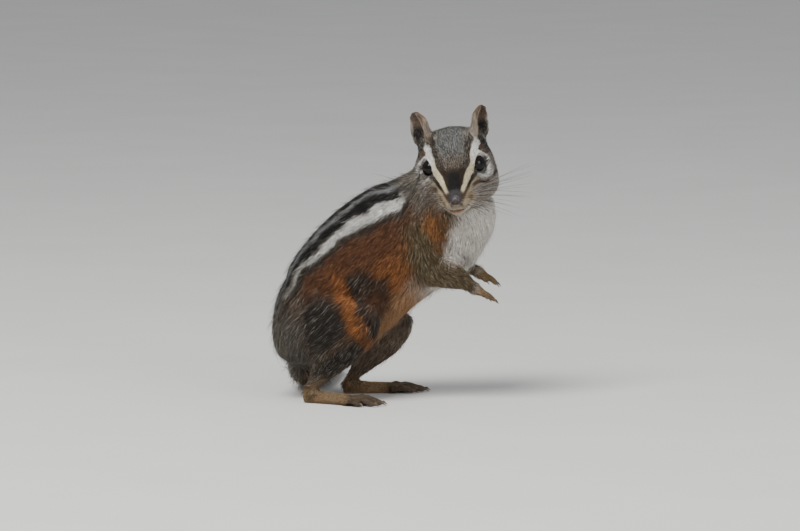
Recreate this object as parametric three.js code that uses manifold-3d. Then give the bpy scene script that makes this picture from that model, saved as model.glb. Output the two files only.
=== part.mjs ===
// A chipmunk at life size, sitting up on its hind feet with its head turned to its right.
// Millimetres, +Z up, floor at Z = 0. The animal's back runs up towards +X, and it looks towards -Y.
// Every form reaches out to the tips of the coat, and neighbours are parted by thin gaps.
import * as THREE from "three";
import { mergeVertices } from "three/addons/utils/BufferGeometryUtils.js";
import Module from "manifold-3d";

const wasm = await Module();
wasm.setup();

// Driving sizes.
const GAP = 0.3;
const FLOOR_SLAB = 40;
const FLOOR_WIDTH = 400;
const EYE_RADIUS = 3.35;
const EYE_SPOT = { forward: 0.4, out: 7.9, up: 0.1 };
const HEAD_SPOT = [24.6, -9.5, 85.0];
const HEAD_PITCH = 24;
const HEAD_ROLL = 7;
const EAR_THICKNESS = 1.25;
const EAR_OPENS_OUT = { right: 48, left: 60 };
const HIND_TOES = 5;
const FINGERS = 4;
const HIND_TOE_RADIUS = 1.25;
const FINGER_RADIUS = 0.95;
const HIND_CLAW = { length: 3.0, radius: 0.5 };
const FORE_CLAW = { length: 2.3, radius: 0.42 };
const CLAW_ROOT = 1.1;
const HIND_SOLE = { heel: 2.5, ball: 4.4 };
const FORE_SOLE = { heel: 1.9, ball: 2.9 };

// Toes and fingers as shares of their radius or reach: the middle ones reach furthest and all rise at the knuckle.
const DIGIT = {
  outerShorter: 0.34,
  shorteningPower: 2.4,
  spacing: 1.75,
  setBack: 4.4,
  fanAngle: 0.11,
  knuckleAlong: 0.5,
  knuckleRise: 0.75,
  tipRise: 0.65,
  girth: [1.1, 1.0, 0.72],
  ends: [0.2, 0.5],
};
const CLAW = { bendAlong: 0.55, bendRise: 0.42, tipDrop: 0.35, girth: [1, 0.85, 0.2] };
const SOLE = { waist: 0.46, waistHeight: 0.95, ballHeight: 0.8, ends: [0.8, 0.6] };

// How far the closed ends of a form swell out, and how finely each form is faceted.
const LIMB_ENDS = [1.5, 1.0];
const RUMP_ENDS = [1.2, 0];
const TAIL_TIP = 1.0;
const HEAD_ENDS = 0.5;
const EAR_HOLLOW = 0.5;
const FACETS = {
  head: [20, 13],
  ear: [14, 7],
  eye: [12, 8],
  nose: [8, 6],
  trunk: { rump: [18, 6], loin: [18, 4], chest: [18, 4], neck: [18, 4] },
  tail: [12, 3],
  arm: [10, 5],
  leg: [10, 6],
  digit: [5, 2],
  claw: [4, 2],
  sole: [8, 2],
};

// Which way is the upper side of the trunk, the tail's root, the upper arm and the shank.
const BACK_WAY = [-0.8, 0, 0.6];
const TAIL_ROOT_WAY = [-1, 0, 0.2];
const TAIL_TURNED = 0.3;
const ARM_WAY = [1, 0, 0.5];
const SHIN_WAY = [-0.7, 0, 0.7];

// Colours of the real coat and bare parts.
const COLOURS = {
  grizzled: 0x5c554a,
  crown: 0x6a635a,
  flank: 0x96602f,
  chest: 0xa08a70,
  leg: 0x6b5641,
  ear: 0x6d5b4a,
  eye: 0x0d0a09,
  nose: 0x3a2e2b,
  claw: 0x2a2320,
  tail: 0x5a4a38,
};

// Stations along each form: centre x, y, z, then half width, height above and height below the line.
// The trunk runs from the root of the tail to the top of the neck.
const TRUNK = [
  [-35.0, 0.5, 13.5, 6.5, 4.5, 7.0],
  [-33.0, 0.3, 19.5, 13.0, 9.0, 15.0],
  [-28.0, 0.0, 27.5, 17.0, 14.5, 20.5],
  [-19.5, 0.0, 36.5, 18.5, 20.0, 23.0],
  [-7.0, 0.0, 46.0, 18.5, 23.8, 21.5],
  [6.0, 0.0, 54.5, 17.5, 25.0, 20.0],
  [16.5, -0.5, 62.0, 16.0, 23.5, 21.0],
  [21.5, -2.0, 71.5, 14.5, 21.5, 17.0],
  [23.5, -6.0, 81.0, 12.5, 12.5, 12.0],
];
const TRUNK_CUTS = { rump: [0, 0.33], loin: [0.33, 0.58], chest: [0.58, 0.82], neck: [0.82, 1] };

// The tail leaves the rump, drops to the floor and lies straight out behind the animal.
const TAIL = [
  [-32.0, 3.0, 18.5, 5.5, 5.0, 5.0],
  [-31.0, 13.0, 11.0, 6.0, 5.8, 5.8],
  [-28.0, 26.0, 6.4, 7.0, 5.8, 6.2],
  [-25.5, 43.0, 5.7, 8.0, 5.4, 5.9],
  [-24.0, 61.0, 5.5, 8.4, 5.2, 5.8],
  [-24.0, 79.0, 5.2, 7.8, 4.8, 5.5],
  [-25.5, 95.0, 4.4, 5.4, 3.8, 4.6],
  [-27.0, 105.0, 3.5, 1.6, 1.4, 1.8],
];
const TAIL_LENGTHS = 4;

// Each leg in turn: the joints' places for the animal's right side (towards -Y) and its left.
const HIND_LEGS = {
  right: {
    thigh: [
      [-27.0, -11.5, 30.5, 6.0, 9.5, 11.0],
      [-21.0, -12.8, 30.5, 7.6, 15.0, 16.0],
      [-11.5, -13.8, 31.0, 7.0, 12.5, 13.5],
      [-2.5, -14.2, 33.5, 4.4, 6.0, 7.5],
    ],
    shank: [
      [-5.5, -14.0, 31.0, 5.0, 6.0, 5.0],
      [-11.5, -13.8, 22.5, 6.0, 9.0, 7.0],
      [-18.5, -13.6, 14.0, 4.8, 8.5, 4.6],
      [-24.8, -13.6, 7.6, 2.9, 3.6, 2.6],
      [-26.6, -13.4, 4.4, 2.3, 2.4, 2.2],
    ],
    foot: { heel: [-28.6, -12.8, 1.9], ball: [-12.2, -20.2, 1.5], reach: 12.0 },
  },
  left: {
    thigh: [
      [-24.0, 11.5, 31.0, 6.0, 9.5, 11.0],
      [-15.5, 12.8, 31.0, 7.6, 14.0, 15.0],
      [-4.5, 13.8, 31.5, 7.0, 11.0, 12.0],
      [5.5, 14.2, 32.0, 4.8, 6.0, 7.0],
    ],
    shank: [
      [7.0, 14.0, 29.5, 5.0, 5.4, 5.0],
      [2.0, 13.8, 21.5, 6.0, 7.6, 7.0],
      [-5.5, 13.6, 13.0, 4.8, 5.6, 4.4],
      [-11.0, 13.6, 7.0, 2.9, 3.0, 2.5],
      [-12.4, 13.6, 4.4, 2.3, 2.4, 2.2],
    ],
    foot: { heel: [-14.8, 13.4, 1.9], ball: [2.8, 16.6, 1.5], reach: 12.0 },
  },
};
const FORE_LEGS = {
  right: {
    upper_arm: [
      [11.0, -11.4, 66.0, 4.6, 6.0, 6.0],
      [12.5, -12.3, 58.5, 5.6, 8.2, 8.2],
      [14.5, -13.2, 50.5, 5.0, 7.2, 7.2],
      [16.0, -13.6, 45.2, 3.6, 4.6, 4.6],
    ],
    forearm: [
      [15.0, -13.6, 46.5, 4.2, 6.0, 4.2],
      [20.5, -13.4, 45.8, 4.6, 7.0, 4.8],
      [26.0, -12.4, 44.0, 3.6, 5.2, 3.6],
      [31.0, -11.2, 41.8, 2.4, 2.6, 2.2],
    ],
    hand: { heel: [30.0, -11.4, 41.8], ball: [34.6, -10.4, 39.4], reach: 6.2, droop: -0.62 },
  },
  left: {
    upper_arm: [
      [12.5, 11.0, 66.0, 4.6, 6.0, 6.0],
      [14.0, 12.0, 59.0, 5.6, 8.0, 8.0],
      [17.0, 12.8, 51.5, 5.0, 6.8, 6.8],
      [19.0, 13.0, 47.0, 3.6, 4.5, 4.5],
    ],
    forearm: [
      [18.5, 12.8, 47.8, 3.9, 4.6, 3.6],
      [23.5, 11.8, 47.2, 4.2, 4.6, 4.0],
      [28.5, 10.2, 46.4, 3.2, 3.4, 3.0],
      [32.8, 8.8, 45.4, 2.3, 2.2, 2.1],
    ],
    hand: { heel: [31.8, 9.0, 45.6], ball: [35.8, 7.8, 43.4], reach: 6.0, droop: -0.58 },
  },
};

// The head from nape to snout: forward place, top, underside, half width and the height of the widest line.
const HEAD = [
  [-19.0, 3.5, -8.0, 7.0, -2.0],
  [-16.0, 7.4, -12.0, 11.6, -4.0],
  [-11.5, 9.7, -15.2, 14.4, -7.6],
  [-6.5, 10.2, -16.8, 15.6, -10.4],
  [-1.5, 9.7, -17.2, 15.3, -11.4],
  [3.0, 7.8, -16.4, 13.0, -10.8],
  [7.0, 5.2, -15.0, 9.6, -9.2],
  [11.0, 2.2, -13.0, 6.4, -7.4],
  [14.4, -0.8, -11.4, 4.5, -6.6],
  [16.8, -3.2, -9.2, 3.0, -6.2],
];
const NOSE = { forward: 16.6, up: -5.1, half: { out: 1.8, forward: 1.7, up: 1.6 } };

// The ear in the head's own frame: base and tip of its axis, and the half width at steps from base to tip.
const EAR = {
  base: { forward: -9.0, out: 9.0, up: 3.0 },
  tip: { forward: -12.6, out: 12.4, up: 16.8 },
  radius: [3.4, 3.75, 3.9, 3.9, 3.8, 3.4, 2.2],
  halfArc: [100, 99, 96, 90, 80, 62, 24],
};

// Smooth values between evenly spaced knots.
function smooth(knots) {
  const curve = new THREE.CatmullRomCurve3(knots.map((k) => new THREE.Vector3(...k)), false, "catmullrom", 0.5);
  return (along) => curve.getPoint(THREE.MathUtils.clamp(along, 0, 1));
}

// A closed mesh's geometry as a solid, turned so that its faces point out.
function solid(geometry) {
  geometry.deleteAttribute("normal");
  geometry.deleteAttribute("uv");
  const merged = mergeVertices(geometry, 1e-4);
  const spots = merged.attributes.position.array;
  const triVerts = new Uint32Array(merged.index.array);
  const corner = (k) => new THREE.Vector3().fromArray(spots, 3 * triVerts[k]);
  let volume = 0;
  for (let i = 0; i < triVerts.length; i += 3) volume += corner(i).dot(corner(i + 1).cross(corner(i + 2)));
  if (volume < 0)
    for (let i = 0; i < triVerts.length; i += 3) [triVerts[i], triVerts[i + 1]] = [triVerts[i + 1], triVerts[i]];
  return new wasm.Manifold(new wasm.Mesh({ numProp: 3, vertProperties: spots, triVerts }));
}

// A cylinder whose points are all moved: place(along, turn, middle) gives each one's new spot.
function moved(sides, rows, place) {
  const geometry = new THREE.CylinderGeometry(1, 1, 1, sides, rows);
  const spots = geometry.attributes.position;
  for (let i = 0; i < spots.count; i++) {
    const [x, y, z] = [spots.getX(i), spots.getY(i), spots.getZ(i)];
    const onAxis = Math.hypot(x, z) < 0.5;
    spots.setXYZ(i, ...place(0.5 - y, Math.atan2(z, x), onAxis).toArray());
  }
  return solid(geometry);
}

// -1 at a form's first end, 1 at its last and 0 between them.
const endOf = (share) => (share < 1e-6 ? -1 : share > 1 - 1e-6 ? 1 : 0);

// One length of a tapering form, between two shares of its line. dorsal(along) points to its upper side.
function length({ stations, dorsal, from = 0, to = 1, facets, bulge = [0, 0], grow }) {
  const centre = smooth(stations.map((s) => s.slice(0, 3)));
  const half = smooth(stations.map((s) => s.slice(3)));
  const step = 1e-3;
  return moved(...facets, (share, turn, onAxis) => {
    const along = from + (to - from) * share;
    const ahead = centre(Math.min(along + step, 1)).sub(centre(Math.max(along - step, 0))).normalize();
    const side = ahead.clone().cross(dorsal(along)).normalize();
    const up = side.clone().cross(ahead);
    const spot = centre(along);
    const end = endOf(share);
    if (onAxis) return spot.addScaledVector(ahead, end * (grow + (end < 0 ? bulge[0] : bulge[1])));
    const [wide, above, below] = half(along).toArray();
    const rise = Math.sin(turn) * ((Math.sin(turn) > 0 ? above : below) + grow);
    return spot
      .addScaledVector(side, Math.cos(turn) * (wide + grow))
      .addScaledVector(up, rise)
      .addScaledVector(ahead, end * grow);
  });
}

// The head's frame: forward along the snout, out to one side, and up through the crown.
const HEAD_FRAME = new THREE.Matrix4()
  .makeTranslation(...HEAD_SPOT)
  .multiply(new THREE.Matrix4().makeRotationX(THREE.MathUtils.degToRad(HEAD_PITCH)))
  .multiply(new THREE.Matrix4().makeRotationY(THREE.MathUtils.degToRad(-HEAD_ROLL)));
const onHead = (forward, out, up) => new THREE.Vector3(out, -forward, up).applyMatrix4(HEAD_FRAME);

function head(grow) {
  const middle = smooth(HEAD.map(([forward, , , , wide]) => [forward, wide, 0]));
  const edges = smooth(HEAD.map(([, top, under, half]) => [top, under, half]));
  return moved(...FACETS.head, (share, turn, onAxis) => {
    const [forward, widest] = middle(share).toArray();
    const [top, under, half] = edges(share).toArray();
    const end = endOf(share);
    const reach = forward + end * grow;
    if (onAxis) return onHead(reach + end * HEAD_ENDS, 0, (top + under) / 2);
    const rise = Math.sin(turn);
    const tall = rise > 0 ? top - widest + grow : widest - under + grow;
    return onHead(reach, Math.cos(turn) * (half + grow), widest + rise * tall);
  });
}

// A curved shell that opens forwards and outwards, thinning to its rounded tip.
function ear(name, grow) {
  const side = name === "right" ? -1 : 1;
  const spotOf = ({ forward, out, up }) => new THREE.Vector3(forward, side * out, up);
  const [base, tip] = [spotOf(EAR.base), spotOf(EAR.tip)];
  const axis = tip.clone().sub(base).normalize();
  const opens = THREE.MathUtils.degToRad(EAR_OPENS_OUT[name]);
  const open = new THREE.Vector3(Math.cos(opens), side * Math.sin(opens), 0);
  open.addScaledVector(axis, -open.dot(axis)).normalize();
  const across = axis.clone().cross(open);
  const shape = smooth(EAR.radius.map((radius, i) => [radius, EAR.halfArc[i], 0]));
  return moved(...FACETS.ear, (share, turn, onAxis) => {
    const [radius, halfArc] = shape(share).toArray();
    const end = endOf(share);
    const spread = onAxis ? 0 : Math.cos(turn) * (THREE.MathUtils.degToRad(halfArc) + grow / radius);
    const thick = onAxis ? 0 : Math.sin(turn) * (EAR_THICKNESS / 2 + grow);
    const spot = base.clone().lerp(tip, share).addScaledVector(axis, end * grow);
    spot.addScaledVector(open, -Math.cos(spread) * (radius + thick) + radius * EAR_HOLLOW);
    spot.addScaledVector(across, Math.sin(spread) * (radius + thick));
    return onHead(spot.x, spot.y, spot.z);
  });
}

function eye(side, grow) {
  const geometry = new THREE.SphereGeometry(EYE_RADIUS + grow, ...FACETS.eye);
  geometry.translate(...onHead(EYE_SPOT.forward, side * EYE_SPOT.out, EYE_SPOT.up).toArray());
  return solid(geometry);
}

function nose(grow) {
  const geometry = new THREE.SphereGeometry(1, ...FACETS.nose);
  geometry.scale(NOSE.half.out + grow, NOSE.half.forward + grow, NOSE.half.up + grow);
  geometry.translate(0, -NOSE.forward, NOSE.up);
  geometry.applyMatrix4(HEAD_FRAME);
  return solid(geometry);
}

// Toes or fingers fan out from the ball of the foot, the middle ones longest.
function digits(foot, count, radius) {
  const [heel, front] = [new THREE.Vector3(...foot.heel), new THREE.Vector3(...foot.ball)];
  const ahead = front.clone().sub(heel).setZ(0).normalize();
  const across = new THREE.Vector3(-ahead.y, ahead.x, 0);
  return Array.from({ length: count }, (_, i) => {
    const place = i - (count - 1) / 2;
    const fromMiddle = Math.abs(place) / ((count - 1) / 2);
    const shorter = 1 - DIGIT.outerShorter * Math.pow(fromMiddle, DIGIT.shorteningPower);
    const root = front.clone().addScaledVector(across, place * radius * DIGIT.spacing);
    root.addScaledVector(ahead, -DIGIT.setBack * (1 - shorter));
    const turn = place * DIGIT.fanAngle;
    const way = ahead.clone().multiplyScalar(Math.cos(turn)).addScaledVector(across, Math.sin(turn));
    if (foot.droop) way.setZ(foot.droop).normalize();
    const reach = foot.reach * shorter;
    const knuckle = root.clone().addScaledVector(way, reach * DIGIT.knuckleAlong);
    knuckle.z += radius * DIGIT.knuckleRise;
    const tip = root.clone().addScaledVector(way, reach);
    if (!foot.droop) tip.z = radius * DIGIT.tipRise;
    return { root, knuckle, tip, way, radius };
  });
}

const upwards = () => new THREE.Vector3(0, 0, 1);

function digit({ root, knuckle, tip, radius }, grow) {
  const at = (spot, share) => [...spot.toArray(), radius * share, radius * share, radius * share];
  return length({
    stations: [root, knuckle, tip].map((spot, i) => at(spot, DIGIT.girth[i])),
    dorsal: upwards,
    facets: FACETS.digit,
    bulge: DIGIT.ends,
    grow,
  });
}

// A claw is a bent cone rooted in the tip of its toe.
function claw({ tip, way, radius }, size, grow) {
  const start = tip.clone().addScaledVector(way, -CLAW_ROOT);
  const end = tip.clone().addScaledVector(way, size.length - CLAW_ROOT);
  const middle = start.clone().lerp(end, CLAW.bendAlong);
  middle.z += radius * CLAW.bendRise;
  end.z = Math.max(end.z - radius * CLAW.tipDrop, GAP);
  const at = (spot, share) => [...spot.toArray(), ...Array(3).fill(size.radius * share)];
  return length({
    stations: [start, middle, end].map((spot, i) => at(spot, CLAW.girth[i])),
    dorsal: upwards,
    facets: FACETS.claw,
    grow,
  });
}

// The sole runs from the heel to the ball, with its toes joined to it.
function paw(foot, toes, size, grow) {
  const at = (spot, wide, tall) => [...spot, wide, tall, tall];
  const middle = foot.heel.map((v, i) => (v + foot.ball[i]) / 2);
  const sole = length({
    stations: [
      at(foot.heel, size.heel, size.heel),
      at(middle, (size.heel + size.ball) * SOLE.waist, size.heel * SOLE.waistHeight),
      at(foot.ball, size.ball, size.heel * SOLE.ballHeight),
    ],
    dorsal: upwards,
    facets: FACETS.sole,
    bulge: SOLE.ends,
    grow,
  });
  return toes.reduce((whole, toe) => whole.add(digit(toe, grow)), sole);
}

// Everything that meets the floor is flat where it rests.
const underFloor = solid(
  new THREE.BoxGeometry(FLOOR_WIDTH, FLOOR_WIDTH, FLOOR_SLAB).translate(0, 0, -FLOOR_SLAB / 2),
);

const back = new THREE.Vector3(...BACK_WAY);
const trunkLength = (name) => (grow) =>
  length({
    stations: TRUNK,
    dorsal: () => back,
    from: TRUNK_CUTS[name][0],
    to: TRUNK_CUTS[name][1],
    facets: FACETS.trunk[name],
    bulge: name === "rump" ? RUMP_ENDS : [0, 0],
    grow,
  });
const tailUp = (along) =>
  new THREE.Vector3(...TAIL_ROOT_WAY)
    .lerp(upwards(), THREE.MathUtils.smoothstep(along, 0, TAIL_TURNED))
    .normalize();
const tailLength = (number) => (grow) =>
  length({
    stations: TAIL,
    dorsal: tailUp,
    from: number / TAIL_LENGTHS,
    to: (number + 1) / TAIL_LENGTHS,
    facets: FACETS.tail,
    bulge: [0, number === TAIL_LENGTHS - 1 ? TAIL_TIP : 0],
    grow,
  });
const limb = (stations, dorsal, facets) => (grow) =>
  length({ stations, dorsal: () => dorsal, facets, bulge: LIMB_ENDS, grow });

// Each piece with its finish, in the order in which later pieces make room for earlier ones.
const PIECES = [];
const piece = (name, finish, build) => PIECES.push({ name, finish, build });
const hindToes = {};
const fingers = {};
for (const side of ["right", "left"]) {
  const handed = side === "right" ? -1 : 1;
  piece("eye_" + side, "eye", (grow) => eye(handed, grow));
  hindToes[side] = digits(HIND_LEGS[side].foot, HIND_TOES, HIND_TOE_RADIUS);
  fingers[side] = digits(FORE_LEGS[side].hand, FINGERS, FINGER_RADIUS);
  hindToes[side].forEach((toe, i) =>
    piece("hind_claw_" + side + "_" + (i + 1), "claw", (grow) => claw(toe, HIND_CLAW, grow)),
  );
  fingers[side].forEach((toe, i) =>
    piece("fore_claw_" + side + "_" + (i + 1), "claw", (grow) => claw(toe, FORE_CLAW, grow)),
  );
}
piece("nose", "nose", nose);
piece("head", "crown", head);
const forward = new THREE.Vector3(...ARM_WAY);
const shin = new THREE.Vector3(...SHIN_WAY);
for (const side of ["right", "left"]) {
  const [hind, fore] = [HIND_LEGS[side], FORE_LEGS[side]];
  piece("ear_" + side, "ear", (grow) => ear(side, grow));
  piece("forearm_" + side, "leg", limb(fore.forearm, upwards(), FACETS.arm));
  piece("hand_" + side, "leg", (grow) => paw(fore.hand, fingers[side], FORE_SOLE, grow));
  piece("upper_arm_" + side, "leg", limb(fore.upper_arm, forward, FACETS.arm));
  piece("shank_" + side, "leg", limb(hind.shank, shin, FACETS.leg));
  piece("hind_foot_" + side, "leg", (grow) => paw(hind.foot, hindToes[side], HIND_SOLE, grow));
  piece("thigh_" + side, "grizzled", limb(hind.thigh, upwards(), FACETS.leg));
}
piece("neck", "chest", trunkLength("neck"));
piece("chest", "flank", trunkLength("chest"));
piece("loin", "flank", trunkLength("loin"));
piece("rump", "grizzled", trunkLength("rump"));
for (let i = 0; i < TAIL_LENGTHS; i++) piece("tail_" + (i + 1), "tail", tailLength(i));

// Every piece is cut back from the grown shapes of the pieces before it, then from the floor.
const made = [];
for (const { name, finish, build } of PIECES) {
  let shape = build(0);
  for (const earlier of made) {
    const shared = shape.intersect(earlier.grown);
    if (shared.volume() > 0) shape = shape.subtract(earlier.grown);
  }
  shape = shape.subtract(underFloor);
  made.push({ name, finish, shape, grown: build(GAP) });
}

const model = new THREE.Group();
const box = new THREE.Box3();
for (const { name, finish, shape } of made) {
  const whole = shape.decompose().sort((a, b) => b.volume() - a.volume())[0];
  const { numProp, numVert, vertProperties, triVerts } = whole.getMesh();
  const spots = new Float32Array(numVert * 3);
  for (let i = 0; i < numVert; i++) spots.set(vertProperties.subarray(i * numProp, i * numProp + 3), i * 3);
  const geometry = new THREE.BufferGeometry();
  geometry.setAttribute("position", new THREE.BufferAttribute(spots, 3));
  geometry.setIndex(new THREE.BufferAttribute(triVerts, 1));
  geometry.computeVertexNormals();
  const material = new THREE.MeshStandardMaterial({
    color: COLOURS[finish],
    roughness: finish === "eye" ? 0.08 : 0.8,
    metalness: 0,
  });
  const mesh = new THREE.Mesh(geometry, material);
  mesh.name = name;
  model.add(mesh);
  box.expandByObject(mesh);
}

// The frame's origin is on the floor, under the middle of the whole animal.
const centre = box.getCenter(new THREE.Vector3());
model.position.set(-centre.x, -centre.y, 0);

export default model;
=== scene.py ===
"""A life-size chipmunk: one skin under the coat, mesh fur in its lie, glass eyes, horn claws and whiskers."""
import math

import bmesh
import bpy
import numpy as np
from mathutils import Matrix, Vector
from mathutils.bvhtree import BVHTree


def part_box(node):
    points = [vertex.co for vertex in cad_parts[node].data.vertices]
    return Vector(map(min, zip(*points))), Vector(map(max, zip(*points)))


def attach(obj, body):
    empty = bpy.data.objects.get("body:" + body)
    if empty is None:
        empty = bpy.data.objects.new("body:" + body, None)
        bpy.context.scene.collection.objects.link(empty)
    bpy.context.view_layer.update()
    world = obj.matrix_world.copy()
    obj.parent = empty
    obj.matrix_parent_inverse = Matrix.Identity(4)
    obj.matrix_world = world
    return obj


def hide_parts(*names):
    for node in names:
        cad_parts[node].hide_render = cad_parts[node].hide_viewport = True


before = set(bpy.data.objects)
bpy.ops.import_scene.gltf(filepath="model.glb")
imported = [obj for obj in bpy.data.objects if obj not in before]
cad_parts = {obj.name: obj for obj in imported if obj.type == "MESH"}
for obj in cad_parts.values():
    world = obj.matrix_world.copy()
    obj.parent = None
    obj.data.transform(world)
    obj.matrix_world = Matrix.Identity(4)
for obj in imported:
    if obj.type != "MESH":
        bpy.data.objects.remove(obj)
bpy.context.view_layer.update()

MM = 0.001
rng = np.random.default_rng(7)

# Camera: level with the animal and a little above it, through a long lens, at the photograph's scale.
PHOTO_WIDTH = 0.288
CAMERA_DISTANCE = 2.4
CAMERA_ELEVATION = math.radians(6)
SENSOR = 36.0

# The spine from tail root to nape in the row frame, in millimetres, and the way from it to the back's skin.
SPINE = [
    (-35.4, -37.7, 13.5), (-33.4, -37.9, 19.5), (-28.4, -38.2, 27.5), (-19.9, -38.2, 36.5),
    (-7.4, -38.2, 46.0), (5.6, -38.2, 54.5), (16.1, -38.7, 62.0), (21.1, -40.2, 71.5), (23.1, -44.2, 81.0),
]
BACKWARD = Vector((-0.8, 0.0, 0.6))


def to_linear(code):
    """An sRGB hex colour as linear numbers."""
    parts = [int(code[i:i + 2], 16) / 255 for i in (0, 2, 4)]
    return np.array([c / 12.92 if c <= 0.04045 else ((c + 0.055) / 1.055) ** 2.4 for c in parts])


# Coat colours, as each kind of hair looks in soft daylight.
# The belly's colour is darker and warmer than its pale hair: painted shade and painted warm bounce light.
HAIR = {name: to_linear(code) for name, code in {
    "black": "1f1c1b", "dark_brown": "35281f", "grey": "8f9193", "white": "eceae4", "cream": "e0d3b2",
    "upper_flank": "6b4730", "orange": "a3683a", "belly": "ad8460", "chest": "ece6de",
    "grizzle": "6b655b", "olive": "6a5a3f", "thigh": "332d28", "crown": "6c6f70", "crown_brown": "57493a",
    "cheek": "b8afa5", "muzzle": "c2b296", "mottle": "8a6a4c", "pad": "d8cfc2", "snout": "4b4748",
    "lips": "c28a6c", "mouth": "4a2620", "cheek_brown": "5d4738", "inner_leg": "8a7665", "temple": "8f867c",
    "paw": "8b7252", "toe": "3a302a", "tail_dark": "352c25", "tail_tawny": "94714c", "tail_edge": "c4b292",
    "ear_hollow_shade": "1d1715", "ear_fur": "6f5b4b", "ear_front": "826750", "ear_rim": "d9cdbf", "nape": "756d62",
}.items()}


def read(items, what, width, whole=False):
    """A mesh's values, fractions or whole numbers, with one row for each item."""
    values = np.empty(len(items) * width, np.int32 if whole else np.float32)
    items.foreach_get(what, values)
    return values.reshape(-1, width).astype(int if whole else float)


def triangles(mesh):
    mesh.calc_loop_triangles()
    return read(mesh.loop_triangles, "vertices", 3, whole=True)


def unit(vectors):
    return vectors / np.maximum(np.linalg.norm(vectors, axis=-1, keepdims=True), 1e-12)


def ramp(value, low, high):
    """0 below low, 1 above high and a smooth step between."""
    share = np.clip((value - low) / (high - low), 0, 1)
    return share * share * (3 - 2 * share)


def fall(value, low, high):
    """1 below low, 0 above high and a smooth step between."""
    return 1 - ramp(value, low, high)


def hill(*rows):
    """1 at the top and fading to 0: each row is a value, its place at the top, and its reach."""
    return np.exp(-sum(((value - middle) / reach) ** 2 for value, middle, reach in rows))


def band(value, low, high, soft):
    """1 between low and high with soft edges."""
    return ramp(value, low - soft, low + soft) * fall(value, high - soft, high + soft)


def box_middle(name):
    low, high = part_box(name)
    return np.array((low + high) / 2)


# The head's own frame, from its eyes and nose: forward, out to the animal's left, and up. The nose lies lower
# than the eyes by an angle, and the frame's middle lies a little behind the line between them.
EYES = {"right": box_middle("eye_right"), "left": box_middle("eye_left")}
NOSE_DROP = math.atan2(5.2, 16.2)
EYE_FORWARD = 0.4 * MM
OUT = unit(EYES["left"] - EYES["right"])
nose_way = unit(box_middle("nose") - (EYES["left"] + EYES["right"]) / 2)
nose_way = unit(nose_way - OUT * np.dot(nose_way, OUT))
above_nose = np.cross(nose_way, OUT)
above_nose *= np.sign(above_nose[2])
FORWARD = nose_way * math.cos(NOSE_DROP) + above_nose * math.sin(NOSE_DROP)
UP = above_nose * math.cos(NOSE_DROP) - nose_way * math.sin(NOSE_DROP)
HEAD_MIDDLE = (EYES["left"] + EYES["right"]) / 2 - FORWARD * EYE_FORWARD
EYE_RADIUS = float((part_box("eye_left")[1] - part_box("eye_left")[0]).z) / 2
# The angle from straight ahead at which each eye looks out.
EYE_SIDE = math.radians(56)


def head_place(spots):
    """Forward, out and up of each point in the head's frame, in millimetres."""
    away = spots - HEAD_MIDDLE
    return away @ FORWARD / MM, away @ OUT / MM, away @ UP / MM


def eye_axis(side):
    """The way an eye looks out of the head."""
    handed = 1 if side == "left" else -1
    return unit(FORWARD * math.cos(EYE_SIDE) + OUT * handed * math.sin(EYE_SIDE) + UP * 0.06)


# The angle from straight ahead at which each ear's cup opens, and the opening of the lids.
EAR_OPENS = {"right": math.radians(48), "left": math.radians(60)}
LID_OPENING = math.radians(65)
CORNER_REACH = math.radians(13)


def lid_turn(side, way):
    """Each direction's angle from the eye's axis, and the lids' opening there, longer at the front corner."""
    axis = eye_axis(side)
    turn = np.arccos(np.clip(way @ axis, -1, 1))
    corner_way = FORWARD - UP * 0.55
    corner_way = unit(corner_way - axis * np.dot(corner_way, axis))
    flat = unit(way - (way @ axis)[:, None] * axis)
    corner = np.clip(flat @ corner_way, 0, 1) ** 8
    back = np.clip(-(flat @ corner_way), 0, 1) ** 8
    return turn, LID_OPENING + CORNER_REACH * corner + 0.3 * CORNER_REACH * back


def eye_gap(spots):
    """Millimetres outside the nearer eye's opening: negative over the ball, large elsewhere."""
    nearest = np.full(len(spots), 99.0)
    for side, middle in EYES.items():
        away = spots - middle
        reach = np.linalg.norm(away, axis=1)
        _, opening = lid_turn(side, away / reach[:, None])
        ahead = away @ eye_axis(side)
        across = np.sqrt(np.maximum(reach ** 2 - ahead ** 2, 0))
        gap = (across - EYE_RADIUS * np.sin(opening)) / MM
        nearest = np.where((ahead > -1.5 * MM) & (gap < nearest), gap, nearest)
    return nearest


def from_head(forward, out, up):
    return HEAD_MIDDLE + (FORWARD * forward + OUT * out + UP * up) * MM


NOSE_MIDDLE = box_middle("nose") - (UP * 0.15 + FORWARD * 0.1) * MM


def spine_line(count=160):
    """Closely spaced points along a smooth curve through the spine's stations."""
    knots = np.array(SPINE) * MM
    knots = np.vstack([2 * knots[0] - knots[1], knots, 2 * knots[-1] - knots[-2]])
    spots = []
    for t in np.linspace(0, len(SPINE) - 1 - 1e-6, count):
        i, f = int(t), t - int(t)
        a, b, c, d = knots[i:i + 4]
        spots.append(0.5 * (2 * b + (c - a) * f + (2 * a - 5 * b + 4 * c - d) * f ** 2
                            + (3 * b - a - 3 * c + d) * f ** 3))
    return np.array(spots)


SPINE_LINE = spine_line()
SPINE_AHEAD = unit(np.gradient(SPINE_LINE, axis=0))
SPINE_SIDE = unit(np.cross(SPINE_AHEAD, np.array(BACKWARD)))
SPINE_UP = np.cross(SPINE_SIDE, SPINE_AHEAD)


# Spots measured at a time, to spare memory.
BATCH = 20000


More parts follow.
